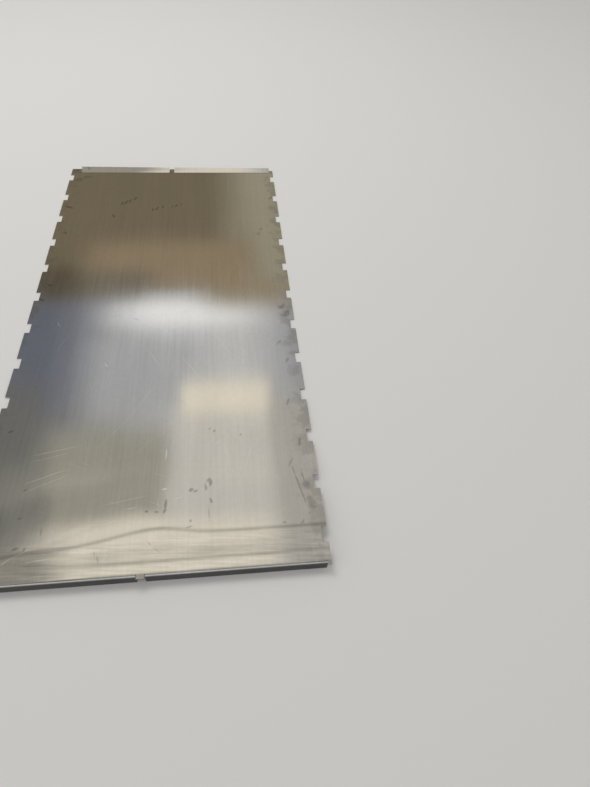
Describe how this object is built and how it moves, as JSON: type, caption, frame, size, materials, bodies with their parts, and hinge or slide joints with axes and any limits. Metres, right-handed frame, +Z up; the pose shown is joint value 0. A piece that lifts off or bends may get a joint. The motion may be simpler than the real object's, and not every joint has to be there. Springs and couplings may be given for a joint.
{
  "type": "flanged steel plate",
  "caption": "Long thin steel plate with notched sides, flanged down square at its near end and part folded upwards at its far end, lying on the floor as a panel for a welded frame.",
  "frame": {"origin": "middle of the sheet's footprint, on the floor it lies on", "axes": "+X across the sheet, +Y along it from the end turned down to the end part folded up, +Z up"},
  "size_m": [1.12, 2.413, 0.0388],
  "materials": {
    "bare_steel": "bare mill finish with a fine lengthwise grain, handling smudges and scratches"
  },
  "bodies": {
    "root": {"folded_sheet": "bare_steel"}
  },
  "joints": []
}
